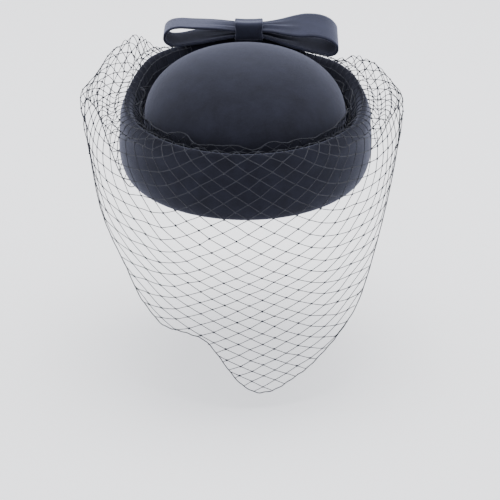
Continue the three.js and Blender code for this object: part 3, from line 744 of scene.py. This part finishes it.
KNOT_WIDTH = knot_box[1][0] - knot_box[0][0]
KNOT_TILT = -5 * MM                     # its back edge sits lower than its front edge
half_depth = BOW_WAIST_WIDTH / 2 + BOW_FELT
half_height = 6.8 * MM
round_knot = smooth_curve([
    (6 * MM, -half_height + 0.2 * MM), (-half_depth + 4 * MM, -half_height),
    (-half_depth + 0.8 * MM, -half_height + 1.2 * MM), (-half_depth, -half_height + 5 * MM),
    (-half_depth, half_height - 3 * MM), (-half_depth + 0.7 * MM, half_height - 0.6 * MM),
    (-half_depth + 3.5 * MM, half_height), (0, half_height - 0.2 * MM), (half_depth - 3.5 * MM, half_height),
    (half_depth, half_height - 4 * MM), (half_depth, -half_height + 4 * MM),
    (half_depth - 4 * MM, -half_height - 1.2 * MM), (0, -half_height - 2.1 * MM),
    (-6 * MM, -half_height - 2.1 * MM)], 80)
grid = []
for y, z in round_knot:
    row = []
    for share in np.linspace(-0.5, 0.5, 11):
        hollow = 0.5 * MM * (4 * share * share) * (1 if z > 0 else 0.4)
        waist_in = 0.8 * MM * math.exp(-(z / (3.5 * MM)) ** 2) * share * 2
        tilted = z + hollow + KNOT_TILT * y / (2 * half_depth)
        row.append((BOW_CENTRE[0] + share * KNOT_WIDTH - waist_in, BOW_CENTRE[1] + y, BOW_CENTRE[2] + tilted))
    grid.append(row)
knot = strip_solid("bow_knot_felt", grid, BOW_FELT, bow_felt)
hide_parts("bow_knot")
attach(knot, "hat")
for name in ("bow_stitch_left", "bow_stitch_right"):
    low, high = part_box(name)
    x, y = (low[0] + high[0]) / 2, (low[1] + high[1]) / 2
    middle = (low[2] + high[2]) / 2
    loops = coil((x, y, middle), (1, 0, 0), 1.0, 3, 0.8 * MM) - np.array((0, y, middle))
    loops = loops * np.array((1, 1.1 * MM, (high[2] - low[2]) / 2)) + np.array((0, y, middle))
    thread_piece(name + "_threads", plied(loops, 0.17 * MM, 1.4 * MM), 0.2 * MM, name)


# ---------------------------------------------------------------------------------------------
# Veil: birdcage netting, a stiffened open net of fine twisted thread with a hard knot at each
# crossing and a selvedge cord along its edges. It is one strip, gathered on a thread in the channel,
# and it hangs over the cuff as far as the chin.
# ---------------------------------------------------------------------------------------------
VEIL_DROP = -cad_box[0][2]
NET_NEAR = CUFF_BELLY + 4.4 * MM
NET_BILLOW = 25 * MM
NET_END = 150                           # degrees round the hat where the strip ends, under the bow
LIFTING_EDGE = 99                       # degrees where the part that lifts ends
REAR_START = 97                         # degrees where the net starts to lie in towards the back
THREAD_HEIGHT = 43 * MM
THREAD_OFFSET = crown_offset(THREAD_HEIGHT) + 2.7 * MM
# By degrees round the hat: how far down the lower edge is, as a share of the way from the cuff's top
# to the lowest point; how far the fullest line is above the cuff's top, in mm; and how full the net
# is, as a share of the billow.
EDGE_SHARES = [
    (-152, 0.15), (-150, 0.156), (-127, 0.548), (-107, 0.106), (-99, 0.045), (-81, 0.251), (-68, 0.402),
    (-56, 0.528), (-46, 0.678), (-36, 0.749), (-20, 0.769), (0, 0.97), (6, 1), (16, 0.975), (28, 0.91),
    (50, 0.734), (64, 0.503), (75, 0.337), (88, 0.166), (99, 0.065), (107, 0.146), (124, 0.377),
    (150, 0.146), (152, 0.14)]
CREST_RISES = [
    (-152, 2), (-150, 3.5), (-138, 11), (-126, 29), (-114, 23), (-100, 7), (-85, 2), (0, -5),
    (85, 1), (100, 5), (112, 12), (124, 13), (133, 3), (150, 1), (152, 1)]
FULLNESS = [
    (-152, 0), (-150, 0), (-138, 0.25), (-127, 0.5), (-112, 0.95), (-99, 1.1), (-81, 0.8), (-68, 0.68),
    (-56, 0.48), (-40, 0.18), (-15, 0), (15, 0), (40, 0.16), (56, 0.36), (75, 0.55), (90, 0.78),
    (102, 0.9), (112, 0.8), (127, 0.42), (138, 0.2), (150, 0), (152, 0)]


def waves(x, size, seed, count=7):
    """Smooth unevenness along a line, about -1 to 1."""
    draws = np.random.default_rng(seed)
    rates = draws.uniform(0.5, 1.6, count) * 2 * np.pi / size
    return sum(np.sin(x * rate + draws.uniform(0, 2 * np.pi)) for rate in rates) / count ** 0.5 / 1.2


AZIMUTH = np.arange(-152, 152.5, 1.0)
DOWN = np.arange(-36, 236) * MM         # along the net, from the top of the fold
columns = []
hem_at = np.zeros(len(AZIMUTH))
frill_at = np.zeros(len(AZIMUTH))
edge_share = along(EDGE_SHARES, AZIMUTH)
crest_rise = along(CREST_RISES, AZIMUTH) * MM
fullness = along(FULLNESS, AZIMUTH)
frill_top = 57 * MM + 4.0 * MM * waves(AZIMUTH, 30, 4)
frill_lean = 3.0 * MM + 2.2 * MM * waves(AZIMUTH, 23, 9)
for n, azimuth in enumerate(AZIMUTH):
    full = NET_NEAR + NET_BILLOW * fullness[n]
    rear = float(np.clip((abs(azimuth) - REAR_START) / (NET_END - REAR_START), 0, 1))
    crest = CUFF_HEIGHT + crest_rise[n]
    edge = CUFF_HEIGHT - (CUFF_HEIGHT + VEIL_DROP) * edge_share[n] + 1.0 * MM
    rim = CUFF_HEIGHT * rim_scale(azimuth)
    shoulder = NET_NEAR - 4 * MM * rear
    # From the frill, down to the gathering thread, up the channel, over the fold and out to the hem.
    line, marks = dense_curve([
        (crown_offset(CROWN_SHOULDER) + 1.0 * MM + frill_lean[n], frill_top[n]),
        (crown_offset(CROWN_SHOULDER) + 1.4 * MM, 50 * MM),
        (THREAD_OFFSET, THREAD_HEIGHT + 0.9 * MM),
        (THREAD_OFFSET + 3.0 * MM, THREAD_HEIGHT + 4.5 * MM),
        (CUFF_BELLY - 10.4 * MM, rim - 0.6 * MM),
        (CUFF_BELLY - 6.4 * MM, rim + 1.5 * MM),
        (shoulder - 2.2 * MM, min(crest + 2 * MM, rim - 1.5 * MM + 6.5 * MM * rear)),
        (shoulder, min(crest - 3 * MM * rear, rim - 5 * MM + 8 * MM * rear)),
        ((shoulder + full) / 2, crest - 4 * MM * (1 - min(1, 4 * fullness[n]))),
        (full, max(crest - 22 * MM, (crest + edge) / 2)),
        (full - (full - NET_NEAR) * 0.12 * (1 - rear), edge),
    ])
    reach = np.concatenate([[0], np.cumsum(np.linalg.norm(np.diff(line, axis=0), axis=1))])
    reach -= reach[marks[5]]
    frill_at[n], hem_at[n] = reach[0], reach[-1]
    column = np.stack([np.interp(DOWN, reach, line[:, 0]), np.interp(DOWN, reach, line[:, 1])], axis=1)
    past = DOWN > reach[-1]
    onward = (line[-1] - line[-6]) / (reach[-1] - reach[-6])
    column[past] += (DOWN[past] - reach[-1])[:, None] * onward
    columns.append(column)
columns = np.array(columns)
SURFACE = round_hat(np.radians(AZIMUTH)[:, None], columns[..., 0], columns[..., 1])


def surface(azimuth, down):
    """Points of the net's surface: azimuth in degrees, down in metres from the top of the fold."""
    i = np.clip((azimuth - AZIMUTH[0]) / (AZIMUTH[1] - AZIMUTH[0]), 0, len(AZIMUTH) - 1.001)
    j = np.clip((down - DOWN[0]) / (DOWN[1] - DOWN[0]), 0, len(DOWN) - 1.001)
    i0, j0 = i.astype(int), j.astype(int)
    u, v = (i - i0)[..., None], (j - j0)[..., None]
    return (SURFACE[i0, j0] * (1 - u) * (1 - v) + SURFACE[i0 + 1, j0] * u * (1 - v)
            + SURFACE[i0, j0 + 1] * (1 - u) * v + SURFACE[i0 + 1, j0 + 1] * u * v)


# The mesh of the net is set by two families of thread. Their directions are known in places: even
# diamonds in front, flatter ones over the face, squares on the sides where the strip is pulled round.
# Each family's count of threads is the function whose slope fits those directions best.
ROUND_STEP, DOWN_STEP = 2, 3
SIDE_MESH, FRONT_MESH = 8.8, 11.2       # mm, one side of a mesh of the net as it lies
FIT_STEPS = 2500
coarse = SURFACE[::ROUND_STEP, ::DOWN_STEP]
az = AZIMUTH[::ROUND_STEP][:, None]
down = DOWN[::DOWN_STEP][None, :]
width = np.linalg.norm(np.diff(coarse, axis=0), axis=-1)
height = np.full((coarse.shape[0], coarse.shape[1] - 1), DOWN_STEP * (DOWN[1] - DOWN[0]))


def thread_slopes(az, down):
    """Slopes (across, down) of the two thread counts wanted at a place."""
    low = ramp(down, 40 * MM, 120 * MM)
    turned = ramp(np.abs(az), 16, 80) * (1 - 0.45 * low)
    side = (SIDE_MESH + (FRONT_MESH - SIDE_MESH) * (1 - turned)) * MM * (1 - 0.12 * low)
    shallow = np.radians(33 - 5 * low) * (1 - turned)
    steep = np.radians(33 - 5 * low) * (1 - turned) + np.radians(88) * turned
    gather = 1 - 0.15 * ramp(-down, 2 * MM, 12 * MM)
    right = az >= 0
    fall_1, fall_2 = np.where(right, shallow, steep), np.where(right, steep, shallow)
    x1, y1 = side * np.cos(fall_1) * gather, side * np.sin(fall_1)
    x2, y2 = side * np.cos(fall_2) * gather, -side * np.sin(fall_2)
    area = x1 * y2 - x2 * y1
    return (y2 / area, -x2 / area), (-y1 / area, x1 / area)


def fit_count(across, downward):
    """Least squares by conjugate gradients: the count whose differences match the wanted slopes."""
    wanted_x = (across[1:] + across[:-1]) / 2 * width
    wanted_y = (downward[:, 1:] + downward[:, :-1]) / 2 * height
    sure = 0.3 + 0.7 * (1 - ramp(np.abs(az), 14, 34) * (1 - ramp(np.abs(az), 58, 80)))
    weight = sure * np.where(down <= np.interp(az, AZIMUTH, hem_at) + 8 * MM, 1.0, 0.02)
    weight_x, weight_y = weight[1:] / width ** 2, weight[:, 1:] / height ** 2

    def spread(dx, dy):
        out = np.zeros_like(across)
        out[1:] += dx
        out[:-1] -= dx
        out[:, 1:] += dy
        out[:, :-1] -= dy
        return out

    def apply(u):
        return spread(np.diff(u, axis=0) * weight_x, np.diff(u, axis=1) * weight_y)

    u = np.zeros_like(across)
    residual = spread(wanted_x * weight_x, wanted_y * weight_y)
    step = residual.copy()
    size = (residual ** 2).sum()
    for _ in range(FIT_STEPS):
        image = apply(step)
        pace = size / (step * image).sum()
        u += pace * step
        residual -= pace * image
        following = (residual ** 2).sum()
        if following < 1e-14 * (wanted_x ** 2 * weight_x).sum():
            break
        step = residual + step * following / size
        size = following
    return u


az_full, down_full = np.broadcast_arrays(az, down)
slopes = thread_slopes(az_full, down_full)
counts = []
for across, downward in slopes:
    fitted = fit_count(across, downward)
    fine = np.array([np.interp(DOWN, DOWN[::DOWN_STEP], row) for row in fitted])
    fine = np.array([np.interp(AZIMUTH, AZIMUTH[::ROUND_STEP], row) for row in fine.T]).T
    counts.append(fine)
middle = len(AZIMUTH) // 2
rim_row = int(np.argmin(np.abs(DOWN)))
counts = np.stack([c - c[middle, rim_row] + 0.37 for c in counts], axis=-1)


def crossings():
    """Where whole counts of both families meet, as {(i, j): (azimuth, down)}."""
    corners = [counts[:-1, :-1], counts[1:, :-1], counts[1:, 1:], counts[:-1, 1:]]
    places = np.stack(np.meshgrid(AZIMUTH, DOWN, indexing="ij"), axis=-1)
    at = [places[:-1, :-1], places[1:, :-1], places[1:, 1:], places[:-1, 1:]]
    found = {}
    for p, q, r in ((0, 1, 2), (0, 2, 3)):
        a, b, c = corners[p], corners[q], corners[r]
        whole = np.ceil(np.minimum(np.minimum(a, b), c))
        e1, e2, e3 = b - a, c - a, whole - a
        det = e1[..., 0] * e2[..., 1] - e1[..., 1] * e2[..., 0]
        det = np.where(np.abs(det) < 1e-12, 1e-12, det)
        s = (e3[..., 0] * e2[..., 1] - e3[..., 1] * e2[..., 0]) / det
        t = (e1[..., 0] * e3[..., 1] - e1[..., 1] * e3[..., 0]) / det
        hit = (s >= -1e-6) & (t >= -1e-6) & (s + t <= 1 + 1e-6)
        place = at[p] * (1 - s - t)[..., None] + at[q] * s[..., None] + at[r] * t[..., None]
        for key, where in zip(whole[hit].astype(int), place[hit]):
            found[tuple(key)] = where
    return found


draws = np.random.default_rng(21)
knots = crossings()
for key in knots:
    knots[key] = knots[key] + draws.normal(0, 0.35, 2) * np.array([0.5, MM])


def inside(place):
    """How far inside the net's edges a place is; below 0 it's outside."""
    azimuth, down = place
    hem = np.interp(azimuth, AZIMUTH, hem_at) - down
    frill = down - np.interp(azimuth, AZIMUTH, frill_at)
    end = (NET_END - abs(azimuth)) * 1.9 * MM
    return min(hem, frill, end)


THREAD_STEPS = 4
graph = {"front": ([], [], []), "rear": ([], [], [])}
index = {"front": {}, "rear": {}}


def vertex(part, key, place, knot):
    points, edges, is_knot = graph[part]
    if key is not None and key in index[part]:
        return index[part][key]
    points.append(place)
    is_knot.append(knot)
    if key is not None:
        index[part][key] = len(points) - 1
    return len(points) - 1


for key, place in knots.items():
    for following in ((key[0] + 1, key[1]), (key[0], key[1] + 1)):
        if following not in knots:
            continue
        start, end = place, knots[following]
        room = inside(start), inside(end)
        if room[0] <= 0 and room[1] <= 0:
            continue
        first, last = key, following
        if room[0] <= 0:
            start, first = start + (end - start) * room[0] / (room[0] - room[1]), None
        if room[1] <= 0:
            end, last = end + (start - end) * room[1] / (room[1] - room[0]), None
        lifting = min(start[1], end[1]) > 1 * MM and max(abs(start[0]), abs(end[0])) < LIFTING_EDGE
        part = "front" if lifting else "rear"
        ids = [vertex(part, first, start, first is not None)]
        for step in range(1, THREAD_STEPS):
            ids.append(vertex(part, None, start + (end - start) * step / THREAD_STEPS, False))
        ids.append(vertex(part, last, end, last is not None))
        graph[part][1].extend(zip(ids, ids[1:]))

gather_turn = np.radians(np.linspace(-NET_END, NET_END, 400))
running = 0.35 * MM * np.sin(gather_turn * 60)
gather_height = THREAD_HEIGHT + 0.3 * MM * np.cos(gather_turn * 37)
gather_line = round_hat(gather_turn, THREAD_OFFSET + running, gather_height)
gather_plies = plied(gather_line, 0.25 * MM, 2.4 * MM)
thread_piece("gathering_thread_plies", gather_plies, 0.28 * MM, "gathering_thread")
for k in range(1, 7):
    low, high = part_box(f"veil_tack_{k}")
    centre = np.array([(low[i] + high[i]) / 2 for i in range(3)])
    tangent = np.array((-centre[1] / OPENING_HALF[1] ** 2, centre[0] / OPENING_HALF[0] ** 2, 0))
    wraps = coil(centre, tangent, 1.7 * MM, 3, 0.8 * MM)
    thread_piece(f"veil_tack_{k}_wraps", plied(wraps, 0.15 * MM, 1.3 * MM), 0.18 * MM, f"veil_tack_{k}")

# Net thread: dyed nylon stiffened with size, so it has a slight shine and uneven colour.
netting, tree = new_material("stiffened_net_thread")
place = node(tree, "ShaderNodeTexCoord").outputs["Object"]
twist = node(tree, "ShaderNodeTexNoise", {"Scale": 1 / (0.6 * MM), "Detail": 2.0}, {"Vector": place})
shade = node(tree, "ShaderNodeValToRGB", links={"Fac": twist.outputs["Fac"]})
shade.color_ramp.elements[0].position = 0.35
shade.color_ramp.elements[0].color = linear("#12141c")
shade.color_ramp.elements[1].position = 0.7
shade.color_ramp.elements[1].color = linear("#262936")
shader = node(tree, "ShaderNodeBsdfPrincipled",
              {"Roughness": 0.5, "Specular IOR Level": 0.35},
              {"Base Color": shade.outputs["Color"]})
node(tree, "ShaderNodeOutputMaterial", links={"Surface": shader.outputs["BSDF"]})


def edge_line(degrees, downs):
    return surface(np.array(degrees, float), np.array(downs, float))


def hem_line(start, end, frill=False):
    """The selvedge along the hem or along the frill, drawn in a little at each mesh."""
    degrees = np.arange(start, end + 0.01, 0.5)
    at = np.interp(degrees, AZIMUTH, frill_at if frill else hem_at)
    scallop = 0.3 * MM * np.sin(degrees * 1.3) + 0.5 * MM * waves(degrees, 17, 3)
    return edge_line(degrees, at + (-scallop if frill else scallop))


cords = {"front": [hem_line(-LIFTING_EDGE, LIFTING_EDGE)],
         "rear": [hem_line(-NET_END, -LIFTING_EDGE), hem_line(LIFTING_EDGE, NET_END),
                  hem_line(-NET_END, NET_END, frill=True)]}
for side in (-NET_END, NET_END):
    downs = np.arange(np.interp(side, AZIMUTH, frill_at), np.interp(side, AZIMUTH, hem_at), 1.5 * MM)
    cords["rear"].append(edge_line(np.full(len(downs), side), downs))
knotted = net_tree(netting)
sizes = {"Thread radius": 0.3 * MM, "Knot radius": 0.75 * MM, "Seed": 7}
nets = {}
for part, (places, edges, is_knot) in graph.items():
    places = np.array(places)
    points = list(surface(places[:, 0], places[:, 1]))
    for cord in cords[part]:
        cord_points, cord_edges = joined(plied(cord, 0.2 * MM, 2.4 * MM))
        edges.extend((a + len(points), b + len(points)) for a, b in cord_edges)
        is_knot.extend([False] * len(cord_points))
        points.extend(cord_points)
    nets[part] = run_tree("veil_net_" + part, points, edges, knotted, sizes, is_knot)
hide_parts("veil_curtain")
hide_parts("veil_heading", "veil_wing_left", "veil_wing_right")
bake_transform(nets["front"])
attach(nets["rear"], "hat")
